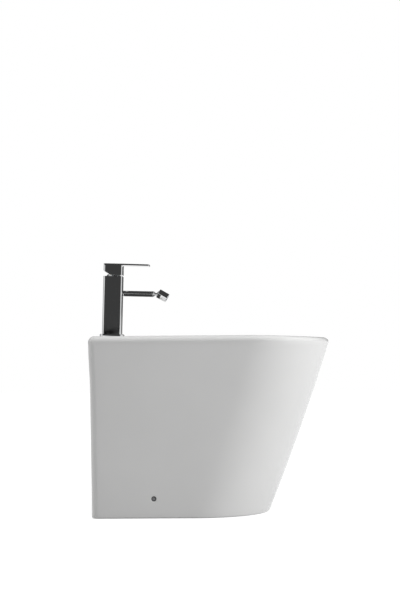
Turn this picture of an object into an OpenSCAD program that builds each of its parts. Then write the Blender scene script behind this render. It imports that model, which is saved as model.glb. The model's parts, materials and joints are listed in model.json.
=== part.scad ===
// Back-to-wall floor-standing bidet with a square single-lever mixer, a click waste and a bottle trap.
// Millimetres. +X points to the front (nose), +Z up. The origin is on the floor, at the middle of the
// length and width. The tap is drawn in its own frame, which stands square on the sloping tap deck.

/* [Ceramic body] */
// Length from the wall face to the front of the rim
body_l = 540; // [520:5:560]
// Width across the rim
body_w = 360; // [350:5:380]
// Height of the rim above the floor
body_h = 400; // [390:5:420]
// Width across the foot
foot_w = 336; // [330:2:350]
// How far the front of the foot sits behind the front of the rim
nose_setback = 140; // [110:5:150]
// Outward bulge of the sloping front
nose_bulge = 4.8; // [0:0.4:8]
// How far the back leans out from the foot to the top
back_lean = 3; // [0:0.5:5]
// Further step of the back edge near the top
back_flare = 3; // [0:0.5:6]
// Rounding of the rear vertical corners
rear_r = 16; // [12:1:30]
// Rounding of the rim's outer edge
rim_r = 14; // [8:1:15]
// Thickness of the ceramic wall
wall_t = 11; // [10:1:13]
// Thickness of the tap deck and rim
deck_t = 15; // [12:1:18]
// Fall of the tap deck and rim towards the bowl, in degrees
deck_fall = 1.7; // [0:0.1:2.5]
// Fall of the rim from its sides to its nose
nose_fall = 4; // [0:0.5:5]

/* [Bowl] */
// Depth of the tap deck, from the wall face to the bowl
deck_l = 105; // [100:5:115]
// Width of the rim beside the bowl
rim_w = 35; // [30:1:40]
// Depth of the bowl below the rim
bowl_depth = 150; // [140:5:160]
// Rear corner radius of the bowl opening
bowl_r = 92; // [80:2:100]
// Rounding of the bowl's edge
bowl_edge_r = 8; // [4:1:10]
// Overflow hole radius
overflow_r = 11; // [9:0.5:12]
// Height of the overflow hole below the rim
overflow_drop = 48; // [44:1:54]

/* [Tap] */
// Distance from the wall face to the tap's axis
tap_back = 40; // [40:1:48]
// Radius of the tap hole in the deck
tap_hole_r = 17.5; // [16.5:0.5:17.5]
// Side of the square tap body
tap_w = 44; // [44:1:48]
// Rounding of the tap's vertical corners
tap_r = 4; // [3:0.5:7]
// Side of the square base plate
plate_w = 54; // [54:1:60]
// Thickness of the base plate
plate_t = 7; // [4:0.5:8]
// Height of the body's top above the deck
tap_h = 142; // [142:1:146]
// Height of the lever's top above the deck
tap_top = 171; // [169:1:174]
// Reach of the lever in front of the handle block
lever_l = 61; // [50:1:70]
// Lever thickness at the handle block
lever_t = 3.5; // [3:0.5:5]
// Lever thickness at its tip
lever_tip_t = 3.5; // [1.5:0.5:3.5]

/* [Spout and nozzle] */
// Height of the spout's axis above the deck
spout_z = 103; // [98:0.5:103]
// Outside radius of the spout
spout_r = 6.5; // [5.5:0.25:6.5]
// Distance from the tap's axis to the end of the spout tube
spout_l = 90; // [80:1:95]
// Outside radius of the nozzle
nozzle_r = 10.5; // [9.5:0.1:10.5]
// Length of the nozzle
nozzle_l = 24; // [22:0.5:25]
// Downward tilt of the nozzle from the spout's axis
nozzle_tilt = 28; // [0:1:31]

/* [Waste and trap] */
// Distance of the waste from the middle of the length, towards the back
waste_back = 20; // [10:5:30]
// Radius of the waste hole in the bowl
waste_hole_r = 22.5; // [22:0.5:23]
// How far the plug stands open
plug_lift = 8; // [4:1:8]
// Radius of the outlet pipe
pipe_r = 16; // [16:0.5:17]
// Height of the outlet pipe's axis
pipe_z = 130; // [120:5:135]
// Outside radius of the trap's bottle
trap_r = 33; // [30:1:36]

/* [Floor fixings] */
// Distance of the side screws from the wall face
side_hole_back = 143; // [130:1:160]
// Height of the side screws above the floor
side_hole_z = 43; // [40:1:50]
// Radius of the side holes in the ceramic
side_hole_r = 5.5; // [5:0.5:6]
// Spacing of the two floor holes in a bracket
bracket_pitch = 44; // [40:1:50]

/* [Hidden] */

eps = 0.01;
cut = 1;
$fn = 96;

// Colours of the preview
ceramic_white = [0.93, 0.93, 0.92];
chrome = [0.62, 0.64, 0.66];
brass = [0.78, 0.62, 0.32];
rubber = [0.12, 0.12, 0.13];
white_plastic = [0.88, 0.88, 0.86];
grey_plastic = [0.55, 0.57, 0.6];

// Points on each part of a half outline, and rings on each part of the skin
n_back = 3;
n_corner = 6;
n_side = 4;
n_nose = 15;
n_bowl = 9;
n_round = 4;

// Plan of the ceramic
back_x = -body_l / 2;
rim_nose = body_l / 2;
foot_nose = rim_nose - nose_setback;
rim_nose_l = 184;
foot_nose_l = 166;
rim_nose_x = rim_nose - rim_nose_l;
flare_top = body_h - 26;
flare_bottom = body_h - 120;
foot_r = 3.5;
foot_t = 14;
waste_x = -waste_back;
bowl_back = back_x + deck_l;
bowl_nose = rim_nose - rim_w - 3;
bowl_half_w = body_w / 2 - rim_w;
bowl_z = body_h - bowl_depth;
floor_t = 28;
duct_r = 6.5;
duct_x = bowl_back - 15;
duct_z = bowl_z - 14;
duct_wall = 15;

// Rear opening for the pipes
opening_w = 190;
opening_h = 300;
opening_r = 30;

// Tap frame: heights are above the deck
tap_x = back_x + tap_back;
tap_z = body_h - tan(deck_fall) * tap_back;
gasket_t = 1;
plate_z = gasket_t;
body_z = plate_z + plate_t;
port_x = 4;
port_y = 7;
port_r = 5;
port_l = 16;
channel_r = 3;
crossing_z = 80;
inlet_port_x = -6;
outlet_port_x = 8;
stud_x = -11;
stud_r = 4;
shank_r = 16.4;
core_r = 15.8;
core_h = 62;

// Cartridge
chamber_r = 17.6;
chamber_z = 112;
seal_t = 1;
housing_r = 17.5;
cavity_r = 13.2;
cavity_top = 126.5;
rotor_bore_r = 12.1;
rotor_r = 11.9;
rotor_neck_r = 10.2;
rotor_z = 127;
nut_r = 19;
nut_z = 137;
disc_z = 117;
disc_t = 3;
moving_disc_r = 9;
moving_disc_t = 4;
pivot_z = 132;
pin_r = 1.5;
stem_w = 7.8;
stem_top = 162;
stem_ball_r = 2.6;
stem_ball_z = 124;
dome_r = 20;
dome_hole_r = 11.5;
dome_t = 1.4;

// Handle
handle_z = tap_h + 2.5;
spout_seat = 10;
handle_cavity_r = 17.5;
handle_ceiling = pivot_z + dome_r + 0.5;
rear_cut_x = -4.5;
rear_cut_h = 10;
grub_z = 158;
grub_r = 2.5;
index_r = 3.6;

// Nozzle
collar_l = 3.4;
ring_l = 4.5;
ball_x = spout_l + 19;
ball_r = 7.9;
socket_r = 8.05;
neck_r = 2.9;
nozzle_back = -5;
lip_s = -4.2;

// Waste
flange_r = 32.5;
recess_d = 3;
seat_z = bowl_z - recess_d;
waste_gasket_t = 1.5;
flange_z = seat_z + waste_gasket_t;
waste_tube_r = 21;
waste_bore_r = 18;
under_z = bowl_z - floor_t;
waste_end = 185;
guide_r = 6.5;
plug_r = 27;
plug_z = flange_z + 3.9 + plug_lift;
plug_stem_l = 30;

// Trap
trap_top = 158;
trap_collar_r = 21;
trap_collar_top = 172;
cup_z = 48;
cup_top = 80;
outlet_x = waste_x - trap_r - 24;

side_hole_x = back_x + side_hole_back;
screw_reach = 14;

function lerp(a, b, t) = a + (b - a) * t;
function smooth(t) = let (c = min(max(t, 0), 1)) c * c * (3 - 2 * c);

// ---- Outlines of the ceramic ----
// A D outline is [back x, x where the nose curve starts, nose x, half width, rear corner radius]
function half_outline(d) =
    let (straight = d[3] - d[4])
    [for (i = [0 : n_back - 1]) [d[0], straight * i / n_back],
     for (i = [0 : n_corner - 1]) let (a = 90 * i / n_corner)
         [d[0] + d[4] * (1 - cos(a)), straight + d[4] * sin(a)],
     for (i = [0 : n_side - 1]) [lerp(d[0] + d[4], d[1], i / n_side), d[3]],
     for (i = [0 : n_nose]) let (a = 90 * i / n_nose) [d[1] + (d[2] - d[1]) * sin(a), d[3] * cos(a)]];

function outline(d) =
    let (half = half_outline(d), n = len(half))
    concat(half, [for (i = [n - 2 : -1 : 1]) [half[i].x, -half[i].y]]);

function inset(d, e) = [d[0] + e, d[1], d[2] - e, d[3] - e, max(d[4] - e, 2)];

rim_outline = [back_x, rim_nose_x, rim_nose, body_w / 2, rear_r];
bowl_outline = [bowl_back, rim_nose_x, bowl_nose, bowl_half_w, bowl_r];
bowl_floor = [waste_x - 42, waste_x, waste_x + 42, 42, 30];
under_outline = [bowl_back - 30, rim_nose_x, bowl_nose + wall_t - 2, bowl_half_w + wall_t, bowl_r];
under_floor = [waste_x - 80, waste_x, waste_x + 50, 50, 30];

// Outer wall at height z
function wall_at(z) =
    let (s = min(z / (body_h - rim_r), 1), bulge = nose_bulge * 4 * s * (1 - s),
         flare = smooth((z - flare_bottom) / (flare_top - flare_bottom)))
    [back_x + back_flare * (1 - flare) + back_lean * (1 - min(z / flare_top, 1)),
     lerp(foot_nose - foot_nose_l, rim_nose_x, s),
     lerp(foot_nose, rim_nose, s) + bulge,
     lerp(foot_w, body_w, s) / 2 + bulge / 4,
     rear_r];

// Distance of a plan point from the rim's outer edge, and the height of the falling deck there
function edge_distance(p) =
    let (start = rim_outline[1], a = rim_outline[2] - start, w = rim_outline[3])
    p.x < start ? min(p.x - back_x, w - abs(p.y)) : (1 - norm([(p.x - start) / a, p.y / w])) * w;

function deck_height(p) = body_h - tan(deck_fall) * edge_distance(p)
    - nose_fall * smooth((p.x - rim_nose_x) / (rim_nose - rim_nose_x));

function flat_ring(d, z) = [for (p = outline(d)) [p.x, p.y, z]];
function deck_ring(d, drop) = [for (p = outline(d)) [p.x, p.y, deck_height(p) - drop]];

// Ring at angle a of the rounding between the top of the wall and the deck
function rim_ring(a) = [for (p = outline(inset(rim_outline, rim_r * (1 - cos(a)))))
    [p.x, p.y, lerp(body_h - rim_r, deck_height(p), sin(a))]];

// Ring k of n_bowl down a bowl wall: a superellipse of power n from the top outline to the floor
function bowl_ring(top, bottom, drop, z, k, n, rear_n) =
    let (a = 90 * k / n_bowl,
         h = pow(cos(a), 2 / n), v = pow(sin(a), 2 / n), rear_h = pow(cos(a), 2 / rear_n),
         d = [lerp(bottom[0], top[0], rear_h), lerp(bottom[1], top[1], h), lerp(bottom[2], top[2], h),
              lerp(bottom[3], top[3], h), lerp(bottom[4], top[4], h)],
         edge = deck_ring(top, drop), plan = outline(d))
    [for (i = [0 : len(plan) - 1]) [plan[i].x, plan[i].y, lerp(edge[i].z, z, v)]];

bowl_power = 2.6;
under_power = 2.6;
rear_power = 7;
wall_heights = [0.96, 0.92, 0.88, 0.83, 0.77, 0.6, 0.42, 0.24, 0.1];
inner_heights = [0.1, 0.25, 0.45, 0.65, 0.8, 0.92];

// The casting is one piece of china. Its rim and deck, its basin and its skirt meet on shared rings.
bowl_edge = bowl_ring(bowl_outline, bowl_floor, bowl_edge_r, bowl_z, 0, bowl_power, bowl_power);
under_edge = bowl_ring(under_outline, under_floor, deck_t, under_z, 0, under_power, rear_power);
wall_top = flat_ring(wall_at(body_h - rim_r), body_h - rim_r);
inner_top = deck_ring(inset(rim_outline, wall_t + 1), deck_t + 5);

// From the bowl's edge over the deck to the top of the wall, and back under the deck
rim_rings = concat(
    [bowl_edge],
    [for (i = [1 : n_round]) let (a = 90 * i / n_round)
        deck_ring(inset(bowl_outline, -bowl_edge_r * (1 - cos(a))), bowl_edge_r * (1 - sin(a)))],
    [for (i = [n_round : -1 : 1]) rim_ring(90 * i / n_round)],
    [wall_top, inner_top, deck_ring(inset(rim_outline, wall_t + 4), deck_t), under_edge]);

// Up the bowl to its edge, and down the underside
basin_rings = concat(
    [for (k = [n_bowl : -1 : 1])
        bowl_ring(bowl_outline, bowl_floor, bowl_edge_r, bowl_z, k, bowl_power, bowl_power)],
    [bowl_edge, under_edge],
    [for (k = [1 : n_bowl])
        bowl_ring(under_outline, under_floor, deck_t, under_z, k, under_power, rear_power)]);

// Down the outside of the wall, round the foot and up the inside
skirt_rings = concat(
    [wall_top],
    [for (s = wall_heights) let (z = s * (body_h - rim_r)) flat_ring(wall_at(z), z)],
    [flat_ring(wall_at(foot_r), foot_r),
     flat_ring(inset(wall_at(0), foot_r * 0.3), foot_r * 0.3),
     flat_ring(inset(wall_at(0), foot_r), 0),
     flat_ring(inset(wall_at(0), foot_t), 0)],
    [for (s = inner_heights) let (z = s * (body_h - rim_r)) flat_ring(inset(wall_at(z), wall_t), z)],
    [inner_top]);

function bands(last, n) = [for (j = [0 : last - 1], i = [0 : n - 1])
    let (a = j * n + i, b = j * n + (i + 1) % n)
    each [[a, a + n, b], [b, a + n, b + n]]];

// Closed loop through rings of equal length. Its last band is split the other way, as the neighbour's is.
module loop(rings) {
    n = len(rings[0]);
    last = len(rings) - 1;
    points = [for (r = rings) each r];
    closing = [for (i = [0 : n - 1])
        let (a = last * n + i, b = last * n + (i + 1) % n, c = i, d = (i + 1) % n)
        each [[a, c, d], [a, d, b]]];
    polyhedron(points, concat(bands(last, n), closing), convexity = 10);
}

// Closed skin through rings of equal length, with a flat cap at each end
module skin(rings) {
    n = len(rings[0]);
    last = len(rings) - 1;
    points = [for (r = rings) each r];
    nose = n / 2;
    start_cap = [for (i = [1 : n - 2]) [nose, (nose + i) % n, (nose + i + 1) % n]];
    end_cap = [for (f = start_cap) [last * n + f[0], last * n + f[2], last * n + f[1]]];
    polyhedron(points, concat(bands(last, n), start_cap, end_cap), convexity = 10);
}

// ---- Helpers ----
function corner(x, y, r, a0) = [for (i = [0 : 6]) let (a = a0 + 15 * i) [x + r * cos(a), y + r * sin(a)]];

function rounded(l, w, r) = concat(
    corner(l / 2 - r, w / 2 - r, r, 0), corner(r - l / 2, w / 2 - r, r, 90),
    corner(r - l / 2, r - w / 2, r, 180), corner(l / 2 - r, r - w / 2, r, 270));

module block(l, w, r, h) linear_extrude(h) polygon(rounded(l, w, r));

module rod(r, h) cylinder(r = r, h = h);

module tube(r, bore, h) {
    difference() {
        rod(r, h);
        translate([0, 0, -cut]) rod(bore, h + 2 * cut);
    }
}

module hex(across, h) cylinder(r = across / 2 / cos(30), h = h, $fn = 6);

module along_x() rotate([0, 90, 0]) children();

module at_tap() translate([tap_x, 0, tap_z]) rotate([0, deck_fall, 0]) children();

module at_ball() at_tap() translate([ball_x, 0, spout_z]) rotate([0, 90 + nozzle_tilt, 0]) children();

module at_waste() translate([waste_x, 0, 0]) children();

// ---- Ceramic ----
module ceramic_rim() {
    color(ceramic_white) difference() {
        loop(rim_rings);
        at_tap() translate([0, 0, -deck_t - cut]) rod(tap_hole_r, deck_t + 2 * cut);
    }
}

module ceramic_basin() {
    color(ceramic_white) difference() {
        skin(basin_rings);
        at_waste() translate([0, 0, seat_z]) rod(flange_r + 1.5, recess_d + cut);
        at_waste() translate([0, 0, under_z - cut]) rod(waste_hole_r, floor_t + cut);
        overflow_duct();
    }
}

module ceramic_skirt() {
    color(ceramic_white) difference() {
        loop(skirt_rings);
        for (side = [-1, 1]) translate([side_hole_x, side * foot_w / 2, side_hole_z])
            rotate([90, 0, 0]) translate([0, 0, -2 * wall_t]) rod(side_hole_r, 4 * wall_t);
        rear_opening();
    }
}

// The cast channel that takes the overflow down to the waste
module overflow_duct() {
    overflow_z = body_h - overflow_drop;
    translate([duct_x, 0, overflow_z]) along_x() rod(overflow_r, 2 * duct_wall + 5);
    translate([duct_x, 0, duct_z - duct_r]) rod(duct_r, overflow_z - duct_z + duct_r);
    translate([duct_x, 0, duct_z]) along_x() rod(duct_r - 0.8, waste_x - duct_x);
}

// The arch in the back wall that the pipes pass through
module rear_opening() {
    translate([back_x - cut, 0, -cut]) along_x() linear_extrude(wall_t + back_flare + back_lean + 4)
        polygon(concat([[0, -opening_w / 2]], [[0, opening_w / 2]],
            corner_up(opening_h - opening_r, opening_w / 2 - opening_r, opening_r)));
}

function corner_up(z, y, r) = concat(
    [for (i = [0 : 6]) [-z - r * sin(15 * i), y + r * cos(15 * i)]],
    [for (i = [6 : -1 : 0]) [-z - r * sin(15 * i), -y - r * cos(15 * i)]]);

module overflow_ring() {
    color(chrome)
    translate([bowl_back + 1, 0, body_h - overflow_drop]) along_x() rotate_extrude()
        polygon([[overflow_r - 2.5, -8], [overflow_r - 0.2, -8], [overflow_r - 0.2, 3.5],
                 [overflow_r + 2.5, 3.5], [overflow_r + 2.5, 4.5], [overflow_r + 1, 5.5],
                 [overflow_r - 1.5, 5.5], [overflow_r - 2.5, 4]]);
}

// ---- Waste ----
module waste_flange() {
    slot_w = 10;
    slot_h = 13;
    color(chrome)
    at_waste() difference() {
        union() {
            translate([0, 0, flange_z]) rotate_extrude()
                polygon([[waste_bore_r, 0], [flange_r, 0], [flange_r, 1], [flange_r - 1.5, 2.5],
                         [plug_r - 1, 2.5], [plug_r - 4, 0.8], [waste_bore_r, 0.8]]);
            translate([0, 0, waste_end]) tube(waste_tube_r, waste_bore_r, flange_z - waste_end);
            for (a = [0, 60, 120]) rotate(a) translate([-waste_bore_r - 1, -1.25, bowl_z - 42])
                cube([2 * waste_bore_r + 2, 2.5, 5]);
            translate([0, 0, bowl_z - 42]) rod(6, 5);
        }
        translate([0, 0, bowl_z - 43]) rod(3, 7);
        for (side = [-1, 1]) translate([side * waste_tube_r - slot_h / 2, -slot_w / 2, duct_z - slot_h / 2])
            cube([slot_h, slot_w, slot_h]);
    }
}

module waste_upper_gasket() {
    color(rubber) at_waste() translate([0, 0, seat_z])
        tube(flange_r - 1, waste_tube_r + 0.2, waste_gasket_t);
}

module waste_lower_gasket() {
    color(rubber) at_waste() translate([0, 0, under_z - 7]) rotate_extrude()
        polygon([[waste_tube_r + 0.2, 0], [31, 0], [31, 3], [28, 7], [waste_tube_r + 0.2, 7]]);
}

module waste_backnut() {
    color(chrome) at_waste() translate([0, 0, under_z - 7 - 12]) difference() {
        union() {
            hex(56, 9);
            translate([0, 0, 9]) rod(30, 3);
        }
        translate([0, 0, -cut]) rod(waste_tube_r + 0.1, 14);
    }
}

module plug_guide() {
    color(brass) at_waste() translate([0, 0, bowl_z - 43]) difference() {
        union() {
            rod(2.9, 8);
            translate([0, 0, 6.02]) rod(guide_r, 24);
        }
        translate([0, 0, 9]) rod(4.2, 24);
    }
}

module waste_plug() {
    crown = 3;
    dome = (plug_r * plug_r + crown * crown) / (2 * crown);
    color(chrome) at_waste() translate([0, 0, plug_z]) {
        rotate_extrude() polygon(concat(
            [[0, -1], [0, -4], [guide_r + 2, -4], [guide_r + 2, -1.5], [plug_r - 4, -1.5], [plug_r, 0.5]],
            [for (i = [0 : 8]) let (x = plug_r * (8 - i) / 8)
                [x, 0.5 + crown + sqrt(dome * dome - x * x) - dome]]));
        translate([0, 0, -3 - plug_stem_l]) rod(4, plug_stem_l);
    }
}

module plug_seal() {
    color(rubber) at_waste() translate([0, 0, plug_z - 3]) tube(plug_r - 5.5, guide_r + 2.1, 1.5);
}

// ---- Trap ----
module trap_inlet_nut() {
    color(chrome) at_waste() translate([0, 0, waste_end - 9]) difference() {
        union() {
            hex(48, 14);
            rod(26, 3);
        }
        translate([0, 0, -cut]) rod(pipe_r + 0.3, 5);
        translate([0, 0, 3]) rod(waste_tube_r + 0.15, 12);
    }
}

module trap_inlet_washer() {
    color(rubber) at_waste() translate([0, 0, waste_end - 2]) tube(waste_tube_r - 0.5, pipe_r - 1.5, 2);
}

module trap_inlet_tube() {
    color(chrome) at_waste() {
        translate([0, 0, 92]) tube(pipe_r, pipe_r - 1.2, waste_end - 4 - 92);
        translate([0, 0, waste_end - 4]) tube(waste_tube_r - 0.5, pipe_r - 1.2, 2);
    }
}

module trap_body() {
    color(chrome) at_waste() difference() {
        union() {
            translate([0, 0, cup_top]) rod(trap_r, trap_top - cup_top - 4);
            translate([0, 0, trap_top - 4]) cylinder(r1 = trap_r, r2 = trap_r - 4, h = 4);
            translate([0, 0, trap_top - cut]) rod(trap_collar_r, trap_collar_top - trap_top + cut);
            translate([-trap_r - 26, 0, pipe_z]) along_x() rod(19, 30);
        }
        translate([0, 0, cup_top - cut]) rod(trap_r - 3, trap_top - cup_top - 4);
        translate([0, 0, trap_top - 8]) rod(pipe_r + 0.2, 30);
        translate([-trap_r - 27, 0, pipe_z]) along_x() rod(pipe_r + 0.2, 40);
    }
}

module trap_cup() {
    h = cup_top - cup_z;
    color(chrome) at_waste() translate([0, 0, cup_z]) {
        rotate_extrude()
            polygon([[0, 0], [trap_r - 9, 0], [trap_r - 3, 4], [trap_r + 1, 6], [trap_r + 1, h - 2],
                     [trap_r - 2, h - 2], [trap_r - 3.2, h - 2], [trap_r - 3.2, h + 8], [trap_r - 6, h + 8],
                     [trap_r - 6, 5], [0, 3]]);
        for (a = [0 : 30 : 330]) rotate(a) translate([trap_r + 0.8, -2, 8]) cube([1.6, 4, h - 12]);
    }
}

module trap_cup_seal() {
    color(rubber) at_waste() translate([0, 0, cup_top - 2]) tube(trap_r, trap_r - 3.1, 2);
}

module trap_outlet_nut() {
    color(chrome) translate([outlet_x - 8, 0, pipe_z]) along_x() difference() {
        union() {
            hex(44, 18);
            rod(23.5, 3);
        }
        translate([0, 0, -cut]) rod(pipe_r + 0.3, 6);
        translate([0, 0, 4]) rod(19.15, 16);
    }
}

module trap_outlet_washer() {
    color(rubber) translate([outlet_x - 4, 0, pipe_z]) along_x() tube(18.8, pipe_r + 0.05, 1.9);
}

// The pipe is plain outside, and a hair slimmer where it enters the nut and the trap
module trap_outlet_pipe() {
    plain_l = outlet_x - 10 - back_x;
    color(chrome) translate([back_x, 0, pipe_z]) along_x() difference() {
        union() {
            rod(pipe_r, plain_l);
            rod(pipe_r - 0.2, plain_l + 20);
        }
        translate([0, 0, -cut]) rod(pipe_r - 1.2, plain_l + 20 + 2 * cut);
    }
}

// ---- Tap body and fixing ----
module tap_gasket() {
    color(rubber) at_tap() difference() {
        translate([0, 0, eps]) block(plate_w - 3, plate_w - 3, 7, gasket_t - eps);
        translate([0, 0, -cut]) rod(shank_r + 0.6, gasket_t + 2 * cut);
    }
}

module tap_base_plate() {
    color(chrome) at_tap() difference() {
        union() {
            translate([0, 0, plate_z]) block(plate_w, plate_w, 8, plate_t - 1);
            translate([0, 0, plate_z + plate_t - 1]) block(plate_w - 2, plate_w - 2, 7, 1);
        }
        translate([0, 0, plate_z - cut]) rod(shank_r, plate_t + 2 * cut);
    }
}

module tap_body() {
    color(chrome) at_tap() difference() {
        translate([0, 0, body_z]) block(tap_w, tap_w, tap_r, tap_h - body_z);
        difference() {
            translate([0, 0, body_z - cut]) block(tap_w - 8, tap_w - 8, 3, core_h);
            rod(core_r, core_h + 2 * body_z);
        }
        translate([0, 0, chamber_z]) rod(chamber_r, tap_h - chamber_z + cut);
        translate([0, 0, nut_z - 1]) rod(nut_r + 0.1, tap_h - nut_z + 2);
        translate([tap_w / 2 - spout_seat, 0, spout_z]) along_x() rod(spout_r + 0.05, spout_seat + 1);
        translate([outlet_port_x - 5, 0, spout_z]) along_x() rod(channel_r + 1, 12);
        translate([outlet_port_x, 0, spout_z]) rod(channel_r, chamber_z - spout_z + cut);
        for (side = [-1, 1]) translate([0, side * port_y, 0]) {
            translate([port_x, 0, body_z - cut]) rod(port_r, port_l + cut);
            translate([port_x, 0, body_z]) rod(channel_r, crossing_z + 4 - body_z);
            translate([inlet_port_x, 0, crossing_z]) along_x() rod(channel_r - 0.6, port_x - inlet_port_x);
            translate([inlet_port_x, 0, crossing_z - 4]) rod(channel_r, chamber_z - crossing_z + 4 + cut);
        }
        translate([stud_x, 0, body_z - cut]) rod(stud_r + 0.05, 22);
    }
}

module fixing_stud() {
    color(brass) at_tap() translate([stud_x, 0, -62]) rod(stud_r, body_z + 62 + 20);
}

// Horseshoe washer that slips round the hoses and the stud
module horseshoe(t) {
    difference() {
        rod(22.5, t);
        translate([port_x, 0, -cut]) rod(14, t + 2 * cut);
        translate([port_x, -14, -cut]) cube([30, 28, t + 2 * cut]);
        translate([stud_x, 0, -cut]) rod(stud_r + 0.4, t + 2 * cut);
    }
}

module deck_washer_rubber() {
    color(rubber) at_tap() translate([0, 0, -deck_t - 3]) horseshoe(3);
}

module deck_washer_metal() {
    color(chrome) at_tap() translate([0, 0, -deck_t - 5]) horseshoe(2);
}

module stud_nut() {
    color(brass) at_tap() translate([stud_x, 0, -deck_t - 5 - 9]) difference() {
        hex(13, 9);
        translate([0, 0, -cut]) rod(stud_r + 0.05, 11);
    }
}

// ---- Cartridge ----
module cartridge_seals() {
    color(rubber) at_tap() translate([0, 0, chamber_z]) {
        for (side = [-1, 1]) translate([inlet_port_x, side * port_y, 0]) tube(4.8, channel_r + 0.2, seal_t);
        translate([outlet_port_x, 0, 0]) tube(5, channel_r + 0.2, seal_t);
    }
}

module three_ports(r, h) {
    for (side = [-1, 1]) translate([inlet_port_x, side * port_y, -cut]) rod(r, h + 2 * cut);
    translate([outlet_port_x, 0, -cut]) rod(r, h + 2 * cut);
}

module cartridge_base() {
    color(grey_plastic) at_tap() translate([0, 0, chamber_z + seal_t]) difference() {
        rod(cavity_r - 0.2, disc_z - chamber_z - seal_t);
        three_ports(2.8, disc_z - chamber_z);
    }
}

module fixed_disc() {
    color(ceramic_white) at_tap() translate([0, 0, disc_z]) difference() {
        rod(cavity_r - 0.3, disc_t);
        three_ports(2.6, disc_t);
    }
}

module moving_disc() {
    color(ceramic_white) at_tap() translate([0, 0, disc_z + disc_t + 0.05]) difference() {
        rod(moving_disc_r, moving_disc_t);
        translate([0, 0, 1]) rod(stem_ball_r + 0.7, moving_disc_t);
    }
}

module cartridge_housing() {
    color(white_plastic) at_tap() difference() {
        translate([0, 0, chamber_z + seal_t]) rod(housing_r, nut_z - chamber_z - seal_t);
        translate([0, 0, chamber_z]) rod(cavity_r, cavity_top - chamber_z);
        translate([0, 0, cavity_top - cut]) rod(rotor_bore_r, nut_z - cavity_top + 2 * cut);
    }
}

module cartridge_rotor() {
    slot_l = 15.6;
    slot_w = stem_w + 0.4;
    color(grey_plastic) at_tap() difference() {
        union() {
            translate([0, 0, rotor_z]) rod(rotor_r, nut_z - 0.4 - rotor_z);
            translate([0, 0, rotor_z]) rod(rotor_neck_r, 13.5);
        }
        translate([-slot_l / 2, -slot_w / 2, rotor_z - cut]) cube([slot_l, slot_w, 20]);
        translate([0, 12, pivot_z]) rotate([90, 0, 0]) rod(pin_r, 24);
    }
}

module rotor_pin() {
    color(chrome) at_tap() translate([0, 9.4, pivot_z]) rotate([90, 0, 0]) rod(pin_r - 0.02, 18.8);
}

module lever_stem() {
    color(brass) at_tap() difference() {
        union() {
            translate([-stem_w / 2, -stem_w / 2, stem_ball_z + 4])
                cube([stem_w, stem_w, stem_top - stem_ball_z - 4]);
            translate([0, 0, stem_ball_z]) rod(1.8, 5);
            translate([0, 0, stem_ball_z]) sphere(r = stem_ball_r);
        }
        translate([0, 12, pivot_z]) rotate([90, 0, 0]) rod(pin_r + 0.05, 24);
    }
}

module cartridge_nut() {
    color(brass) at_tap() translate([0, 0, nut_z]) difference() {
        rod(nut_r, tap_h - nut_z);
        translate([0, 0, -cut]) rod(rotor_neck_r + 0.6, tap_h - nut_z + 2 * cut);
        for (a = [45, 135]) rotate(a) translate([-nut_r - 1, -2, 3]) cube([2 * nut_r + 2, 4, 5]);
    }
}

// A zone of a sphere about the lever's pivot, so that the handle turns round it
module dome_cap() {
    low = asin((tap_h - pivot_z) / dome_r);
    high = acos(dome_hole_r / dome_r);
    inner = dome_r - dome_t;
    color(chrome) at_tap() translate([0, 0, pivot_z]) rotate_extrude() polygon(concat(
        [for (i = [0 : 5]) let (a = lerp(low, high, i / 5)) dome_r * [cos(a), sin(a)]],
        [for (i = [5 : -1 : 0]) let (a = lerp(low, high, i / 5))
            [inner * cos(a), max(inner * sin(a), tap_h - pivot_z)]]));
}

// ---- Handle ----
module lever_handle() {
    h = tap_top - handle_z;
    half = tap_w / 2;
    tip = half + lever_l;
    fall = 0.5;
    color(chrome) at_tap() difference() {
        intersection() {
            translate([0, half, handle_z]) rotate([90, 0, 0]) linear_extrude(tap_w)
                polygon([[-half, rear_cut_h], [rear_cut_x, 0], [half, 0], [half, h - lever_t],
                         [tip, h - fall - lever_tip_t], [tip, h - fall], [half, h], [-half, h]]);
            union() {
                translate([0, 0, handle_z]) block(tap_w, tap_w, tap_r, h);
                translate([(tip - half) / 2, 0, tap_top - lever_t - fall])
                    block(tap_w + lever_l, tap_w, 2, lever_t + fall);
            }
        }
        translate([0, 0, handle_z - cut]) rod(handle_cavity_r, handle_ceiling - handle_z + cut);
        translate([-stem_w / 2 - 0.05, -stem_w / 2 - 0.05, handle_ceiling - cut])
            cube([stem_w + 0.1, stem_w + 0.1, stem_top - handle_ceiling + 1.5]);
        translate([0, 0, grub_z]) along_x() rod(grub_r, half + cut);
        translate([half - 3, 0, grub_z]) along_x() rod(index_r, 3 + cut);
    }
}

module grub_screw() {
    color(brass) at_tap() translate([stem_w / 2 + 0.02, 0, grub_z]) along_x() difference() {
        rod(grub_r - 0.02, 10);
        translate([0, 0, 7]) hex(2.5, 4);
    }
}

module index_plug() {
    color([0.3, 0.3, 0.31]) at_tap() translate([tap_w / 2 - 2.9, 0, grub_z]) along_x() {
        rod(index_r - 0.1, 2.9);
        translate([0, 0, 2.9]) cylinder(r1 = index_r - 0.1, r2 = index_r - 0.7, h = 0.5);
    }
}

// ---- Spout and nozzle ----
module at_spout() at_tap() translate([0, 0, spout_z]) along_x() children();

module spout_tube() {
    start = tap_w / 2 - spout_seat + 0.1;
    color(chrome) at_spout() translate([0, 0, start]) tube(spout_r, 4.2, spout_l - start);
}

module spout_collar() {
    color(chrome) at_spout() translate([0, 0, spout_l - 8]) difference() {
        union() {
            rod(4.15, 9);
            translate([0, 0, 8.02]) rod(spout_r + 0.15, collar_l - 0.7);
            translate([0, 0, 8.02 + collar_l - 0.7])
                cylinder(r1 = spout_r + 0.15, r2 = spout_r - 0.4, h = 0.6);
        }
        translate([0, 0, -cut]) rod(neck_r + 0.05, 14);
    }
}

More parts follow.
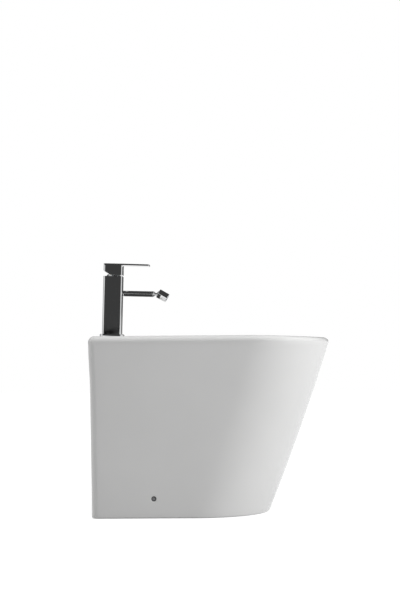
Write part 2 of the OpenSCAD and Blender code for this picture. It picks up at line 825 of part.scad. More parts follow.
module ball_stem() {
    ring_x = spout_l + collar_l + 0.1;
    color(chrome) at_spout() difference() {
        union() {
            translate([0, 0, spout_l - 6]) rod(neck_r, 22);
            translate([0, 0, ring_x]) cylinder(r1 = spout_r - 0.5, r2 = spout_r, h = 1);
            translate([0, 0, ring_x + 1]) cylinder(r1 = spout_r, r2 = neck_r + 0.8, h = ring_l - 1);
            translate([0, 0, ball_x]) sphere(r = ball_r);
        }
        translate([0, 0, spout_l - 7]) rod(1.9, 40);
    }
}

// The housing's bore is a socket behind the ball's middle and open towards the outlet
module nozzle_housing() {
    front = nozzle_back + nozzle_l;
    bore_r = socket_r + 0.05;
    lip_a = asin(-lip_s / bore_r);
    color(chrome) at_ball() rotate_extrude() polygon(concat(
        [[bore_r * cos(lip_a) + 0.4, nozzle_back], [nozzle_r - 0.6, nozzle_back],
         [nozzle_r, nozzle_back + 0.6], [nozzle_r, front - 0.6], [nozzle_r - 0.6, front],
         [bore_r, front], [bore_r, 0]],
        [for (i = [1 : 5]) let (a = lip_a * i / 5) bore_r * [cos(a), -sin(a)]]));
}

module ball_seat() {
    first = 30;
    last = 60;
    color(white_plastic) at_ball() rotate_extrude() polygon(concat(
        [for (i = [0 : 5]) let (a = lerp(first, last, i / 5)) (socket_r + 0.05) * [cos(a), sin(a)]],
        [[4.05, 9], [socket_r - 0.05, 9], [socket_r - 0.05, socket_r * sin(first)]]));
}

module aerator_washer() {
    color(rubber) at_ball() translate([0, 0, 9]) tube(socket_r - 0.05, 5, 1.2);
}

module aerator() {
    start = 10.2;
    end = nozzle_back + nozzle_l + 0.5;
    color(grey_plastic) at_ball() difference() {
        translate([0, 0, start]) rod(socket_r - 0.1, end - start);
        translate([0, 0, start - cut]) rod(6.6, end - start - 1);
        translate([0, 0, end - 3]) rod(0.7, 4);
        for (a = [0 : 60 : 300]) rotate(a) translate([2.4, 0, end - 3]) rod(0.7, 4);
        for (a = [0 : 30 : 330]) rotate(a) translate([4.9, 0, end - 3]) rod(0.7, 4);
    }
}

// ---- Floor fixings ----
// Left is the side at +Y
function wall_in(z) = wall_at(z)[3] - wall_t;

module bracket() {
    outer = wall_in(0) - 4;
    depth = 30;
    foot_l = 66;
    upright_l = 34;
    upright_t = 9;
    base_t = 5;
    color(white_plastic) translate([side_hole_x, 0, 0]) difference() {
        union() {
            translate([0, outer - depth / 2, 0]) block(foot_l, depth, 4, base_t);
            translate([-upright_l / 2, outer - upright_t, 0]) cube([upright_l, upright_t, side_hole_z]);
            translate([0, outer, side_hole_z]) rotate([90, 0, 0]) rod(upright_l / 2, upright_t);
            for (x = [-upright_l / 2, upright_l / 2 - 4])
                translate([x + 4, outer - upright_t + cut, base_t - cut])
                    rotate([0, -90, 0]) linear_extrude(4) polygon([[0, 0], [30, 0], [0, -18]]);
        }
        for (side = [-1, 1])
            translate([side * bracket_pitch / 2, outer - depth / 2 - 2, -cut]) rod(3.5, base_t + 2 * cut);
        translate([0, outer + cut, side_hole_z]) rotate([90, 0, 0]) rod(2.5, upright_t + 2 * cut);
    }
}

module at_side_hole() translate([side_hole_x, 0, side_hole_z]) rotate([-90, 0, 0]) children();

// The bush fills the hole in the china and takes the head of the screw
module side_bush() {
    inner = wall_in(side_hole_z) + 0.5;
    color(rubber) at_side_hole() difference() {
        translate([0, 0, inner]) rod(side_hole_r - 0.05, wall_t - 1.5);
        translate([0, 0, inner - cut]) rod(2.6, wall_t + cut);
        translate([0, 0, inner + 5]) rod(3.9, wall_t);
    }
}

module side_screw() {
    start = wall_in(0) - 4 - screw_reach;
    head = wall_in(side_hole_z) + 5.6;
    color(chrome) at_side_hole() difference() {
        union() {
            translate([0, 0, start]) rod(2.45, head - start);
            translate([0, 0, head]) rod(3.7, 3);
        }
        translate([0, 0, head + 1]) hex(3, 3);
    }
}

module floor_bracket_left() bracket();

module floor_bracket_right() mirror([0, 1, 0]) bracket();

module side_bush_left() side_bush();

module side_bush_right() mirror([0, 1, 0]) side_bush();

module side_screw_left() side_screw();

module side_screw_right() mirror([0, 1, 0]) side_screw();

ceramic_rim();
ceramic_basin();
ceramic_skirt();
overflow_ring();
waste_flange();
waste_upper_gasket();
waste_lower_gasket();
waste_backnut();
plug_guide();
waste_plug();
plug_seal();
trap_inlet_nut();
trap_inlet_washer();
trap_inlet_tube();
trap_body();
trap_cup();
trap_cup_seal();
trap_outlet_nut();
trap_outlet_washer();
trap_outlet_pipe();
tap_gasket();
tap_base_plate();
tap_body();
fixing_stud();
deck_washer_rubber();
deck_washer_metal();
stud_nut();
cartridge_housing();
cartridge_base();
cartridge_seals();
fixed_disc();
moving_disc();
cartridge_rotor();
rotor_pin();
lever_stem();
cartridge_nut();
dome_cap();
lever_handle();
grub_screw();
index_plug();
spout_tube();
spout_collar();
ball_stem();
nozzle_housing();
ball_seat();
aerator_washer();
aerator();
floor_bracket_left();
floor_bracket_right();
side_bush_left();
side_bush_right();
side_screw_left();
side_screw_right();
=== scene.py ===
# Looks of the back-to-wall floor standing bidet: glazed ceramic, chrome mixer, studio floor, lights and camera.
# Lengths are in metres unless a comment or docstring says millimetres. The frame gives every solid's place.
import json
import math

import bmesh
import bpy
from mathutils import Matrix, Vector


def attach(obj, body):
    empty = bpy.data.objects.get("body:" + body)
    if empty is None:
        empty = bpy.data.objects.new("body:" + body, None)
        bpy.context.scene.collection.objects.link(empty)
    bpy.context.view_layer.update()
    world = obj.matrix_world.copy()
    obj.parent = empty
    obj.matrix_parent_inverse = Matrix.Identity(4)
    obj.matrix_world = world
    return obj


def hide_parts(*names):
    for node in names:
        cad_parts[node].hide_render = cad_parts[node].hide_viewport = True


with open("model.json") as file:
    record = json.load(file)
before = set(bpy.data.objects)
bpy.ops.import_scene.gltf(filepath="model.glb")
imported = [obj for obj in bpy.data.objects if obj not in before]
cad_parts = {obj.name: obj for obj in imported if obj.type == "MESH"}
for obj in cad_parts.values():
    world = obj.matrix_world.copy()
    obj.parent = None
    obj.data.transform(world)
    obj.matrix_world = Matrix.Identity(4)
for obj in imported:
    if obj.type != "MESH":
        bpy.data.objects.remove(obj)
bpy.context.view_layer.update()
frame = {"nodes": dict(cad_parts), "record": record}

MM = 0.001

# Ceramic plan and heights in millimetres, the same named values as the part's source
BODY_L = 540
BODY_W = 360
BODY_H = 400
FOOT_W = 336
NOSE_SETBACK = 140
NOSE_BULGE = 4.8
BACK_LEAN = 3
BACK_FLARE = 3
REAR_R = 16
RIM_R = 14
WALL_T = 11
DECK_T = 15
DECK_FALL = math.radians(1.7)
NOSE_FALL = 4
DECK_L = 105
RIM_W = 35
BOWL_DEPTH = 150
BOWL_R = 92
BOWL_EDGE_R = 8
OVERFLOW_R = 11
OVERFLOW_DROP = 48
TAP_BACK = 40
TAP_HOLE_R = 17.5
WASTE_BACK = 20
WASTE_HOLE_R = 22.5
SIDE_HOLE_BACK = 143
SIDE_HOLE_Z = 43
SIDE_HOLE_R = 5.5
BACK_X = -BODY_L / 2
RIM_NOSE = BODY_L / 2
FOOT_NOSE = RIM_NOSE - NOSE_SETBACK
RIM_NOSE_L = 184
FOOT_NOSE_L = 166
RIM_NOSE_X = RIM_NOSE - RIM_NOSE_L
FOOT_NOSE_X = FOOT_NOSE - FOOT_NOSE_L
FLARE_TOP = BODY_H - 26
FLARE_BOTTOM = BODY_H - 120
FOOT_R = 3.5
FOOT_T = 14
WASTE_X = -WASTE_BACK
BOWL_BACK = BACK_X + DECK_L
BOWL_NOSE_GAP = 3
BOWL_NOSE = RIM_NOSE - RIM_W - BOWL_NOSE_GAP
BOWL_HALF_W = BODY_W / 2 - RIM_W
BOWL_Z = BODY_H - BOWL_DEPTH
BOWL_FLOOR_HALF = 42
FLOOR_CORNER_R = 30
FLOOR_T = 28
UNDER_BACK = 30
UNDER_FLOOR_BACK = 80
UNDER_FLOOR_HALF = 50
FLANGE_R = 32.5
FLANGE_GAP = 1.5
RECESS_D = 3
DUCT_R = 6.5
ELBOW_R = DUCT_R - 0.8
DUCT_X = BOWL_BACK - 15
DUCT_Z = BOWL_Z - 14
DUCT_WALL = 15
OPENING_W = 190
OPENING_H = 300
OPENING_R = 30
SIDE_HOLE_EASE = 1.2

# Powers of the superellipses that the bowl, its underside and the underside's rear follow
BOWL_POWER = 2.6
UNDER_POWER = 2.6
REAR_POWER = 7

# How far cutters stand past the surfaces that they open, below and above
CUT_BELOW = 3
CUT_ABOVE = 4

# Points on each part of a half outline, and rings on each part of the skin
N_BACK = 4
N_CORNER = 10
N_SIDE = 10
N_NOSE = 44
N_BOWL = 26
N_ROUND = 8
N_WALL = 44
N_INNER = 10
N_ARCH = 8
N_HOLE_EASE = 5

# Degrees between two faces from which the casting's edge is shaded sharp
SHARP_FROM = 35


# ---- Ceramic ----
def lerp(a, b, t):
    return a + (b - a) * t


def smooth(t):
    c = min(max(t, 0), 1)
    return c * c * (3 - 2 * c)


def outline(d):
    """Points of a D outline: [back x, nose curve start x, nose x, half width, rear corner radius]."""
    back, start, nose, width, r = d
    straight = width - r
    half = [(back, straight * i / N_BACK) for i in range(N_BACK)]
    for i in range(N_CORNER):
        a = math.pi / 2 * i / N_CORNER
        half.append((back + r * (1 - math.cos(a)), straight + r * math.sin(a)))
    half += [(lerp(back + r, start, i / N_SIDE), width) for i in range(N_SIDE)]
    for i in range(N_NOSE + 1):
        a = math.pi / 2 * i / N_NOSE
        half.append((start + (nose - start) * math.sin(a), width * math.cos(a)))
    return half + [(x, -y) for x, y in half[-2:0:-1]]


def inset(d, e):
    """The outline drawn in by e, or let out where e is negative."""
    return [d[0] + e, d[1], d[2] - e, d[3] - e, max(d[4] - e, 2)]


RIM_OUTLINE = [BACK_X, RIM_NOSE_X, RIM_NOSE, BODY_W / 2, REAR_R]
BOWL_OUTLINE = [BOWL_BACK, RIM_NOSE_X, BOWL_NOSE, BOWL_HALF_W, BOWL_R]
BOWL_FLOOR = [WASTE_X - BOWL_FLOOR_HALF, WASTE_X, WASTE_X + BOWL_FLOOR_HALF, BOWL_FLOOR_HALF, FLOOR_CORNER_R]
UNDER_OUTLINE = [BOWL_BACK - UNDER_BACK, RIM_NOSE_X, BOWL_NOSE + WALL_T - 2, BOWL_HALF_W + WALL_T, BOWL_R]
UNDER_FLOOR = [WASTE_X - UNDER_FLOOR_BACK, WASTE_X, WASTE_X + UNDER_FLOOR_HALF, UNDER_FLOOR_HALF, FLOOR_CORNER_R]


def wall_at(z):
    """The outside outline at height z, in millimetres."""
    s = min(z / (BODY_H - RIM_R), 1)
    bulge = NOSE_BULGE * 4 * s * (1 - s)
    flare = smooth((z - FLARE_BOTTOM) / (FLARE_TOP - FLARE_BOTTOM))
    return [
        BACK_X + BACK_FLARE * (1 - flare) + BACK_LEAN * (1 - min(z / FLARE_TOP, 1)),
        lerp(FOOT_NOSE_X, RIM_NOSE_X, s),
        lerp(FOOT_NOSE, RIM_NOSE, s) + bulge,
        lerp(FOOT_W, BODY_W, s) / 2 + bulge / 4,
        REAR_R,
    ]


def deck_height(x, y):
    """Height of the rim's top, which falls towards the bowl from its outer edge and towards the nose."""
    start, nose, width = RIM_OUTLINE[1:4]
    if x < start:
        distance = min(x - BACK_X, width - abs(y))
    else:
        distance = (1 - math.hypot((x - start) / (nose - start), y / width)) * width
    nose_share = smooth((x - RIM_NOSE_X) / (RIM_NOSE - RIM_NOSE_X))
    return BODY_H - math.tan(DECK_FALL) * distance - NOSE_FALL * nose_share


def flat_ring(d, z):
    return [(x, y, z) for x, y in outline(d)]


def deck_ring(d, drop):
    return [(x, y, deck_height(x, y) - drop) for x, y in outline(d)]


def rim_ring(a):
    """Ring at angle a of the rounding between the top of the wall and the deck."""
    plan = outline(inset(RIM_OUTLINE, RIM_R * (1 - math.cos(a))))
    return [(x, y, lerp(BODY_H - RIM_R, deck_height(x, y), math.sin(a))) for x, y in plan]


def bowl_ring(top, bottom, drop, z, k, power, rear_power):
    """Ring k of N_BOWL on the way from the deck, less drop, down to the floor at z."""
    a = math.pi / 2 * k / N_BOWL
    c, s = max(math.cos(a), 0), math.sin(a)
    h, v, rear_h = c ** (2 / power), s ** (2 / power), c ** (2 / rear_power)
    d = [lerp(bottom[0], top[0], rear_h)] + [lerp(bottom[i], top[i], h) for i in range(1, 5)]
    edge = deck_ring(top, drop)
    return [(x, y, lerp(e[2], z, v)) for (x, y), e in zip(outline(d), edge)]


def skin_rings():
    """Rings in order: up the bowl, over the edge and the deck, down outside, and back up inside."""
    quarter = [math.pi / 2 * i / N_ROUND for i in range(N_ROUND + 1)]
    rings = [bowl_ring(BOWL_OUTLINE, BOWL_FLOOR, BOWL_EDGE_R, BOWL_Z, k, BOWL_POWER, BOWL_POWER)
             for k in range(N_BOWL, -1, -1)]
    rings += [deck_ring(inset(BOWL_OUTLINE, -BOWL_EDGE_R * (1 - math.cos(a))), BOWL_EDGE_R * (1 - math.sin(a)))
              for a in quarter[1:]]
    rings += [rim_ring(a) for a in reversed(quarter[1:])]
    top = BODY_H - RIM_R
    for i in range(N_WALL):
        z = lerp(top, FOOT_R, i / N_WALL)
        rings.append(flat_ring(wall_at(z), z))
    for a in quarter:
        z = FOOT_R * (1 - math.sin(a))
        rings.append(flat_ring(inset(wall_at(z), FOOT_R * (1 - math.cos(a))), z))
    rings.append(flat_ring(inset(wall_at(0), FOOT_T), 0))
    for i in range(N_INNER + 1):
        z = top * lerp(0.1, 0.92, i / N_INNER)
        rings.append(flat_ring(inset(wall_at(z), WALL_T), z))
    rings.append(deck_ring(inset(RIM_OUTLINE, WALL_T + 1), DECK_T + 5))
    rings.append(deck_ring(inset(RIM_OUTLINE, WALL_T + 4), DECK_T))
    rings += [bowl_ring(UNDER_OUTLINE, UNDER_FLOOR, DECK_T, BOWL_Z - FLOOR_T, k, UNDER_POWER, REAR_POWER)
              for k in range(N_BOWL + 1)]
    return rings


def new_object(name, mesh):
    obj = bpy.data.objects.new(name, mesh)
    bpy.context.scene.collection.objects.link(obj)
    return obj


def closed_object(name, bm):
    """Turns the faces of a closed bmesh outward and makes an object of it."""
    bmesh.ops.recalc_face_normals(bm, faces=bm.faces)
    mesh = bpy.data.meshes.new(name)
    bm.to_mesh(mesh)
    bm.free()
    return new_object(name, mesh)


def from_rings(name, rings):
    """A closed mesh through rings of equal length, capped flat at each end. Ring points are in millimetres."""
    bm = bmesh.new()
    loops = [[bm.verts.new(Vector(p) * MM) for p in ring] for ring in rings]
    count = len(rings[0])
    for lower, upper in zip(loops, loops[1:]):
        for i in range(count):
            j = (i + 1) % count
            bm.faces.new((lower[i], upper[i], upper[j], lower[j]))
    bm.faces.new(loops[0])
    bm.faces.new(reversed(loops[-1]))
    bmesh.ops.remove_doubles(bm, verts=bm.verts, dist=1e-6)
    return closed_object(name, bm)


def turned(name, profile, place, segments=64):
    """A closed solid of revolution about local Z, from a profile of (radius, height) in millimetres.

    The profile runs from axis to axis.
    """
    bm = bmesh.new()
    turns = [2 * math.pi * i / segments for i in range(segments)]
    rings = []
    for r, z in profile:
        points = [(0, 0, z * MM)]
        if r:
            points = [(r * math.cos(a) * MM, r * math.sin(a) * MM, z * MM) for a in turns]
        rings.append([bm.verts.new(place @ Vector(point)) for point in points])
    for lower, upper in zip(rings, rings[1:]):
        for i in range(segments):
            j = (i + 1) % segments
            if len(lower) == 1:
                bm.faces.new((lower[0], upper[j], upper[i]))
            elif len(upper) == 1:
                bm.faces.new((lower[i], lower[j], upper[0]))
            else:
                bm.faces.new((lower[i], lower[j], upper[j], upper[i]))
    return closed_object(name, bm)


def prism(name, points, depth, place):
    """A closed prism of a plan polygon, swept along local Z by depth, both in millimetres."""
    bm = bmesh.new()
    low = [bm.verts.new(place @ Vector((x * MM, y * MM, 0))) for x, y in points]
    high = [bm.verts.new(place @ Vector((x * MM, y * MM, depth * MM))) for x, y in points]
    bm.faces.new(low)
    bm.faces.new(high)
    for i in range(len(points)):
        j = (i + 1) % len(points)
        bm.faces.new((low[i], low[j], high[j], high[i]))
    return closed_object(name, bm)


def apply_modifiers(obj):
    graph = bpy.context.evaluated_depsgraph_get()
    mesh = bpy.data.meshes.new_from_object(obj.evaluated_get(graph))
    obj.modifiers.clear()
    obj.data = mesh


def cut_away(obj, cutters):
    """Cuts each cutter from the object and removes it."""
    for cutter in cutters:
        mod = obj.modifiers.new("cut", "BOOLEAN")
        mod.operation = "DIFFERENCE"
        mod.solver = "EXACT"
        mod.object = cutter
        apply_modifiers(obj)
        bpy.data.objects.remove(cutter)


def at(x, y, z, turn=None):
    """A move to a place in millimetres, after a turn if there is one."""
    move = Matrix.Translation(Vector((x, y, z)) * MM)
    return move @ turn if turn else move


ALONG_X = Matrix.Rotation(math.pi / 2, 4, "Y")
TAP = at(BACK_X + TAP_BACK, 0, BODY_H - math.tan(DECK_FALL) * TAP_BACK, Matrix.Rotation(DECK_FALL, 4, "Y"))


def rod(r, z0, z1):
    return [(0, z0), (r, z0), (r, z1), (0, z1)]


def eased_hole(r, z0, z1, ease):
    """Profile of a cutter that opens a hole from z0 to z1 and eases its edge at z1."""
    angles = [math.pi / 2 * i / N_HOLE_EASE for i in range(N_HOLE_EASE + 1)]
    arc = [(r + ease * (1 - math.cos(a)), z1 - ease * (1 - math.sin(a))) for a in angles]
    return [(0, z0), (r, z0)] + arc + [(r + ease, z1 + CUT_ABOVE), (0, z1 + CUT_ABOVE)]


def arch_points():
    """The rear opening's outline, in millimetres, with x up and negative."""
    points = [(0, -OPENING_W / 2), (0, OPENING_W / 2)]
    for side, steps in ((1, range(N_ARCH + 1)), (-1, range(N_ARCH, -1, -1))):
        for i in steps:
            a = math.pi / 2 * i / N_ARCH
            points.append((-(OPENING_H - OPENING_R) - OPENING_R * math.sin(a),
                           side * (OPENING_W / 2 - OPENING_R + OPENING_R * math.cos(a))))
    return points


def build_ceramic():
    """The whole casting as one piece, in place of the three faceted nodes."""
    body = from_rings("ceramic_glazed", skin_rings())
    overflow_z = BODY_H - OVERFLOW_DROP
    waste = at(WASTE_X, 0, 0)
    cutters = [
        turned("cut_tap", rod(TAP_HOLE_R, -DECK_T - CUT_BELOW, CUT_ABOVE), TAP),
        turned("cut_recess", rod(FLANGE_R + FLANGE_GAP, BOWL_Z - RECESS_D, BOWL_Z + CUT_ABOVE), waste),
        turned("cut_waste", rod(WASTE_HOLE_R, BOWL_Z - FLOOR_T - CUT_BELOW, BOWL_Z), waste),
        turned("cut_overflow", rod(OVERFLOW_R, 0, 2 * DUCT_WALL + 5), at(DUCT_X, 0, overflow_z, ALONG_X)),
        turned("cut_duct", rod(DUCT_R, DUCT_Z - DUCT_R, overflow_z), at(DUCT_X, 0, 0), 48),
        turned("cut_elbow", rod(ELBOW_R, 0, WASTE_X - DUCT_X), at(DUCT_X, 0, DUCT_Z, ALONG_X), 40),
        prism("cut_rear", arch_points(), WALL_T + BACK_FLARE + BACK_LEAN + 5, at(BACK_X - 1, 0, -1, ALONG_X)),
    ]
    wall = wall_at(SIDE_HOLE_Z)[3]
    hole = eased_hole(SIDE_HOLE_R, -2 * WALL_T, 0, SIDE_HOLE_EASE)
    for side in (-1, 1):
        turn = Matrix.Rotation(-side * math.pi / 2, 4, "X")
        place = at(BACK_X + SIDE_HOLE_BACK, side * wall, SIDE_HOLE_Z, turn)
        cutters.append(turned(f"cut_side_{side}", hole, place, 40))
    cut_away(body, cutters)
    body.data.shade_smooth()
    body.data.set_sharp_from_angle(angle=math.radians(SHARP_FROM))
    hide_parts("ceramic_rim", "ceramic_basin", "ceramic_skirt")
    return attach(body, "bidet")


# ---- Materials ----
# The share of a noise's factor over which a tint goes from dark to light
TINT_SPAN = (0.35, 0.65)

# How far each visible metal edge is eased, and the rest
EASE = {
    "tap_body": 0.0004,
    "tap_base_plate": 0.0005,
    "lever_handle": 0.00015,
    "nozzle_housing": 0.0003,
    "spout_collar": 0.0003,
}
EASE_REST = 0.0002
EASE_FROM = math.radians(40)
WELD_GAP = 1e-6


def material(name, color, roughness, metallic=0.0, coat=0.0, ior=1.5):
    mat = bpy.data.materials.new(name)
    mat.use_nodes = True
    shader = mat.node_tree.nodes["Principled BSDF"]
    shader.inputs["Base Color"].default_value = (*color, 1)
    shader.inputs["Roughness"].default_value = roughness
    shader.inputs["Metallic"].default_value = metallic
    shader.inputs["Coat Weight"].default_value = coat
    shader.inputs["IOR"].default_value = ior
    return mat


def noise(mat, scale, detail, stretch=None):
    """The factor of a noise over the object's own coordinates."""
    nodes, links = mat.node_tree.nodes, mat.node_tree.links
    coords = nodes.new("ShaderNodeTexCoord")
    mapping = nodes.new("ShaderNodeMapping")
    if stretch:
        mapping.inputs["Scale"].default_value = stretch
    texture = nodes.new("ShaderNodeTexNoise")
    texture.inputs["Scale"].default_value = scale
    texture.inputs["Detail"].default_value = detail
    links.new(coords.outputs["Object"], mapping.inputs["Vector"])
    links.new(mapping.outputs["Vector"], texture.inputs["Vector"])
    return texture.outputs["Fac"]


def tint(mat, factor, dark, light):
    """Colour varies between dark and light with a factor."""
    ramp = mat.node_tree.nodes.new("ShaderNodeValToRGB")
    for stop, position, color in zip(ramp.color_ramp.elements, TINT_SPAN, (dark, light)):
        stop.position = position
        stop.color = (*color, 1)
    mat.node_tree.links.new(factor, ramp.inputs["Fac"])
    mat.node_tree.links.new(ramp.outputs["Color"], mat.node_tree.nodes["Principled BSDF"].inputs["Base Color"])


def vary_roughness(mat, factor, low, high):
    """Roughness varies between low and high with a factor."""
    node = mat.node_tree.nodes.new("ShaderNodeMapRange")
    node.inputs["To Min"].default_value = low
    node.inputs["To Max"].default_value = high
    mat.node_tree.links.new(factor, node.inputs["Value"])
    mat.node_tree.links.new(node.outputs["Result"], mat.node_tree.nodes["Principled BSDF"].inputs["Roughness"])


def bump(mat, factor, strength, distance):
    """Small relief that follows a factor."""
    node = mat.node_tree.nodes.new("ShaderNodeBump")
    node.inputs["Strength"].default_value = strength
    node.inputs["Distance"].default_value = distance
    mat.node_tree.links.new(factor, node.inputs["Height"])
    mat.node_tree.links.new(node.outputs["Normal"], mat.node_tree.nodes["Principled BSDF"].inputs["Normal"])


def make_materials():
    """A material for each slot of the record."""
    made = {}

    mat = material("glaze_white", (0.79, 0.79, 0.785), 0.16, coat=0.25)
    tint(mat, noise(mat, 6, 2), (0.778, 0.778, 0.774), (0.797, 0.797, 0.793))
    vary_roughness(mat, noise(mat, 30, 2), 0.12, 0.17)
    bump(mat, noise(mat, 22, 1), 0.03, 0.001)
    made["glazed_ceramic"] = mat

    mat = material("chrome_plate", (0.82, 0.825, 0.83), 0.05, metallic=1)
    vary_roughness(mat, noise(mat, 40, 2), 0.02, 0.05)
    bump(mat, noise(mat, 60, 1), 0.02, 0.0003)
    made["chrome"] = mat

    mat = material("turned_brass", (0.75, 0.56, 0.26), 0.25, metallic=1)
    tint(mat, noise(mat, 80, 4), (0.66, 0.47, 0.2), (0.79, 0.61, 0.31))
    vary_roughness(mat, noise(mat, 120, 3), 0.18, 0.36)
    bump(mat, noise(mat, 900, 2, (1, 1, 12)), 0.15, 0.0001)
    made["brass"] = mat

    mat = material("stainless_steel", (0.62, 0.62, 0.61), 0.3, metallic=1)
    tint(mat, noise(mat, 90, 3), (0.55, 0.55, 0.545), (0.67, 0.67, 0.66))
    bump(mat, noise(mat, 700, 2, (14, 1, 1)), 0.2, 0.0001)
    vary_roughness(mat, noise(mat, 200, 2), 0.25, 0.4)
    made["steel"] = mat

    mat = material("black_oxide", (0.23, 0.23, 0.235), 0.42, metallic=1)
    tint(mat, noise(mat, 90, 3), (0.19, 0.19, 0.195), (0.26, 0.26, 0.265))
    bump(mat, noise(mat, 900, 2), 0.15, 0.0001)
    made["blackened_steel"] = mat

    mat = material("rubber_black", (0.03, 0.03, 0.032), 0.7)
    tint(mat, noise(mat, 120, 4), (0.022, 0.022, 0.024), (0.045, 0.045, 0.048))
    bump(mat, noise(mat, 1500, 3), 0.25, 0.0002)
    made["black_rubber"] = mat

    mat = material("plastic_white", (0.78, 0.78, 0.75), 0.38)
    tint(mat, noise(mat, 60, 2), (0.74, 0.74, 0.71), (0.8, 0.8, 0.775))
    bump(mat, noise(mat, 1200, 2), 0.12, 0.0001)
    made["white_plastic"] = mat

    mat = material("plastic_grey", (0.36, 0.38, 0.41), 0.42)
    tint(mat, noise(mat, 60, 2), (0.33, 0.35, 0.38), (0.4, 0.42, 0.45))
    bump(mat, noise(mat, 1200, 2), 0.12, 0.0001)
    made["grey_plastic"] = mat

    mat = material("alumina", (0.84, 0.82, 0.76), 0.22, ior=1.76)
    tint(mat, noise(mat, 200, 4), (0.81, 0.79, 0.73), (0.86, 0.845, 0.79))
    bump(mat, noise(mat, 2500, 2), 0.08, 0.0001)
    made["disc_ceramic"] = mat

    mat = material("index_gloss", (0.28, 0.28, 0.29), 0.2, coat=0.4)
    tint(mat, noise(mat, 300, 2), (0.26, 0.26, 0.27), (0.3, 0.3, 0.31))
    bump(mat, noise(mat, 800, 1), 0.05, 0.0001)
    made["index_grey"] = mat
    return made


def dress_nodes(materials):
    """Gives each CAD node its slot's material, eased edges and smooth shading."""
    slots = {row["node"]: row["material_slot"] for row in frame["record"]["subparts"]}
    for name, node in frame["nodes"].items():
        node.data.materials.clear()
        node.data.materials.append(materials[slots[name]])
        node.data.shade_smooth()
        weld = node.modifiers.new("weld", "WELD")
        weld.merge_threshold = WELD_GAP
        edge = node.modifiers.new("ease", "BEVEL")
        edge.width = EASE.get(name, EASE_REST)
        edge.segments = 2
        edge.limit_method = "ANGLE"
        edge.angle_limit = EASE_FROM
        edge.harden_normals = True
        edge.use_clamp_overlap = True
        weighted = node.modifiers.new("normals", "WEIGHTED_NORMAL")
        weighted.keep_sharp = True


# ---- Studio ----
# Strength of the world's even light, and how bright mirrors see the white around
AMBIENT = 0.235
MIRRORED = 0.8

# Floor: half its side, its grey under the lamps, and its lift to white near the object and far from it
FLOOR_HALF = 12
FLOOR_GREY = 0.34
NEAR, FAR = 0.5, 3.0
NEAR_GLOW, FAR_GLOW = 0.84, 1.0

# Side lamps: degrees round from the front towards +X, and watts
KEY_AZIMUTH, KEY_POWER = 66, 70
FILL_AZIMUTH, FILL_POWER = -82, 28.5
LAMP_REACH, LAMP_HEIGHT, LAMP_SIZE = 2.9, 0.9, 2.0
LAMP_TARGET = (0.05, 0, 0.25)
TOP_POWER, TOP_SIZE = 32, 1.8
TOP_PLACE, TOP_TARGET = (0.0, -0.15, 2.6), (0, 0, 0.2)

# Dark flags stand round the object and over it. They begin just above its rim, so that the ceramic walls don't
# mirror them. The low flag is a deeper strip along the near flag's foot.
FLAG_REACH, FLAG_LOW, FLAG_HIGH = 4.2, 0.46, 4.2
BLACK, GREY, DEEP = 0.05, 0.11, 0.0
BLACK_SOFT, GREY_SOFT, DARK_REFLECTION_CARD_SOFT = 0.2, 0.3, 0.02
NEAR_FLAG_X, NEAR_FLAG_W = 0.1, 3.8
LOW_FLAG_TOP, LOW_FLAG_GAP = 0.51, 0.02
OVER_FLAG_X, OVER_FLAG_W = 0.6, 5.6
REAR_FLAGS, REAR_FLAG_W = (116, 148, 180, 212, 244), 3.2

# A dark card between the spout and the rim, seen only in mirrors: a painted reflection, so that the spout's
# underside mirrors dark and not the china
DARK_REFLECTION_CARD_OUTLINE = [(-0.235, -0.3), (-0.15, -0.3), (-0.131, 0), (-0.131, 0.08), (-0.205, 0.08), (-0.205, -0.022)]
DARK_REFLECTION_CARD_HEIGHT = 0.47


def plane(name, corners):
    mesh = bpy.data.meshes.new(name)
    mesh.from_pydata(corners, [], [tuple(range(len(corners)))])
    return new_object(name, mesh)


def backdrop_material():
    """A white floor: a soft grey that takes shadows, lifted to white for camera, gloss and glass rays.

    The lift grows with the distance from the object, where the lamps give less.
    """
    mat = bpy.data.materials.new("studio_white")
    mat.use_nodes = True
    nodes, links = mat.node_tree.nodes, mat.node_tree.links
    nodes.clear()
    output = nodes.new("ShaderNodeOutputMaterial")
    matt = nodes.new("ShaderNodeBsdfDiffuse")
    matt.inputs["Color"].default_value = (FLOOR_GREY, FLOOR_GREY, FLOOR_GREY, 1)
    light = nodes.new("ShaderNodeEmission")
    light.inputs["Color"].default_value = (1, 1, 1, 1)
    place = nodes.new("ShaderNodeNewGeometry")
    distance = nodes.new("ShaderNodeVectorMath")
    distance.operation = "LENGTH"
    links.new(place.outputs["Position"], distance.inputs[0])
    glow = nodes.new("ShaderNodeMapRange")
    glow.interpolation_type = "SMOOTHSTEP"
    glow.inputs["From Min"].default_value = NEAR
    glow.inputs["From Max"].default_value = FAR
    glow.inputs["To Min"].default_value = NEAR_GLOW
    glow.inputs["To Max"].default_value = FAR_GLOW
    links.new(distance.outputs["Value"], glow.inputs["Value"])
    lift = nodes.new("ShaderNodeMath")
    lift.operation = "MULTIPLY"
    links.new(seen_rays(nodes, links, 1, MIRRORED), lift.inputs[0])
    links.new(glow.outputs["Result"], lift.inputs[1])
    links.new(lift.outputs["Value"], light.inputs["Strength"])
    both = nodes.new("ShaderNodeAddShader")
    links.new(matt.outputs["BSDF"], both.inputs[0])
    links.new(light.outputs["Emission"], both.inputs[1])
    links.new(both.outputs["Shader"], output.inputs["Surface"])
    return mat


